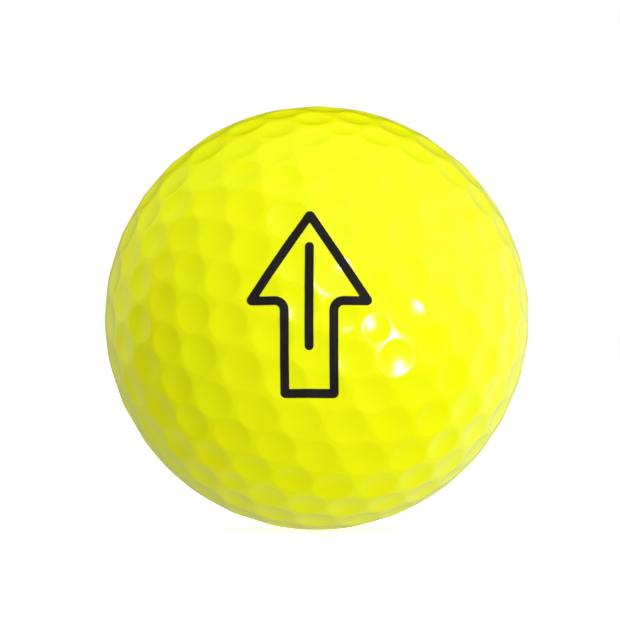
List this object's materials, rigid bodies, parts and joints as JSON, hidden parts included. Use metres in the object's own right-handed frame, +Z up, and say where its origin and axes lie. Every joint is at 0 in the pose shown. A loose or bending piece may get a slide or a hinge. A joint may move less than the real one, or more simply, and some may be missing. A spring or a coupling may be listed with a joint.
{
  "type": "golf ball",
  "caption": "Dimpled golf ball with a rubber core, a glossy neon yellow cover and a plain black printed arrow.",
  "frame": {"origin": "centre of the ball", "axes": "+Z up through the top of the ball, -Y out through the printed arrow, +X to the right of a viewer who faces the arrow"},
  "size_m": [0.0426, 0.0428, 0.0428],
  "materials": {
    "core_rubber": "matt moulded rubber",
    "cover_yellow": "neon yellow ionomer under a clear gloss lacquer",
    "ink_black": "matt black pad-printing ink"
  },
  "bodies": {
    "root": {"core": "core_rubber", "cover": "cover_yellow", "printed_mark": "ink_black"}
  },
  "joints": []
}
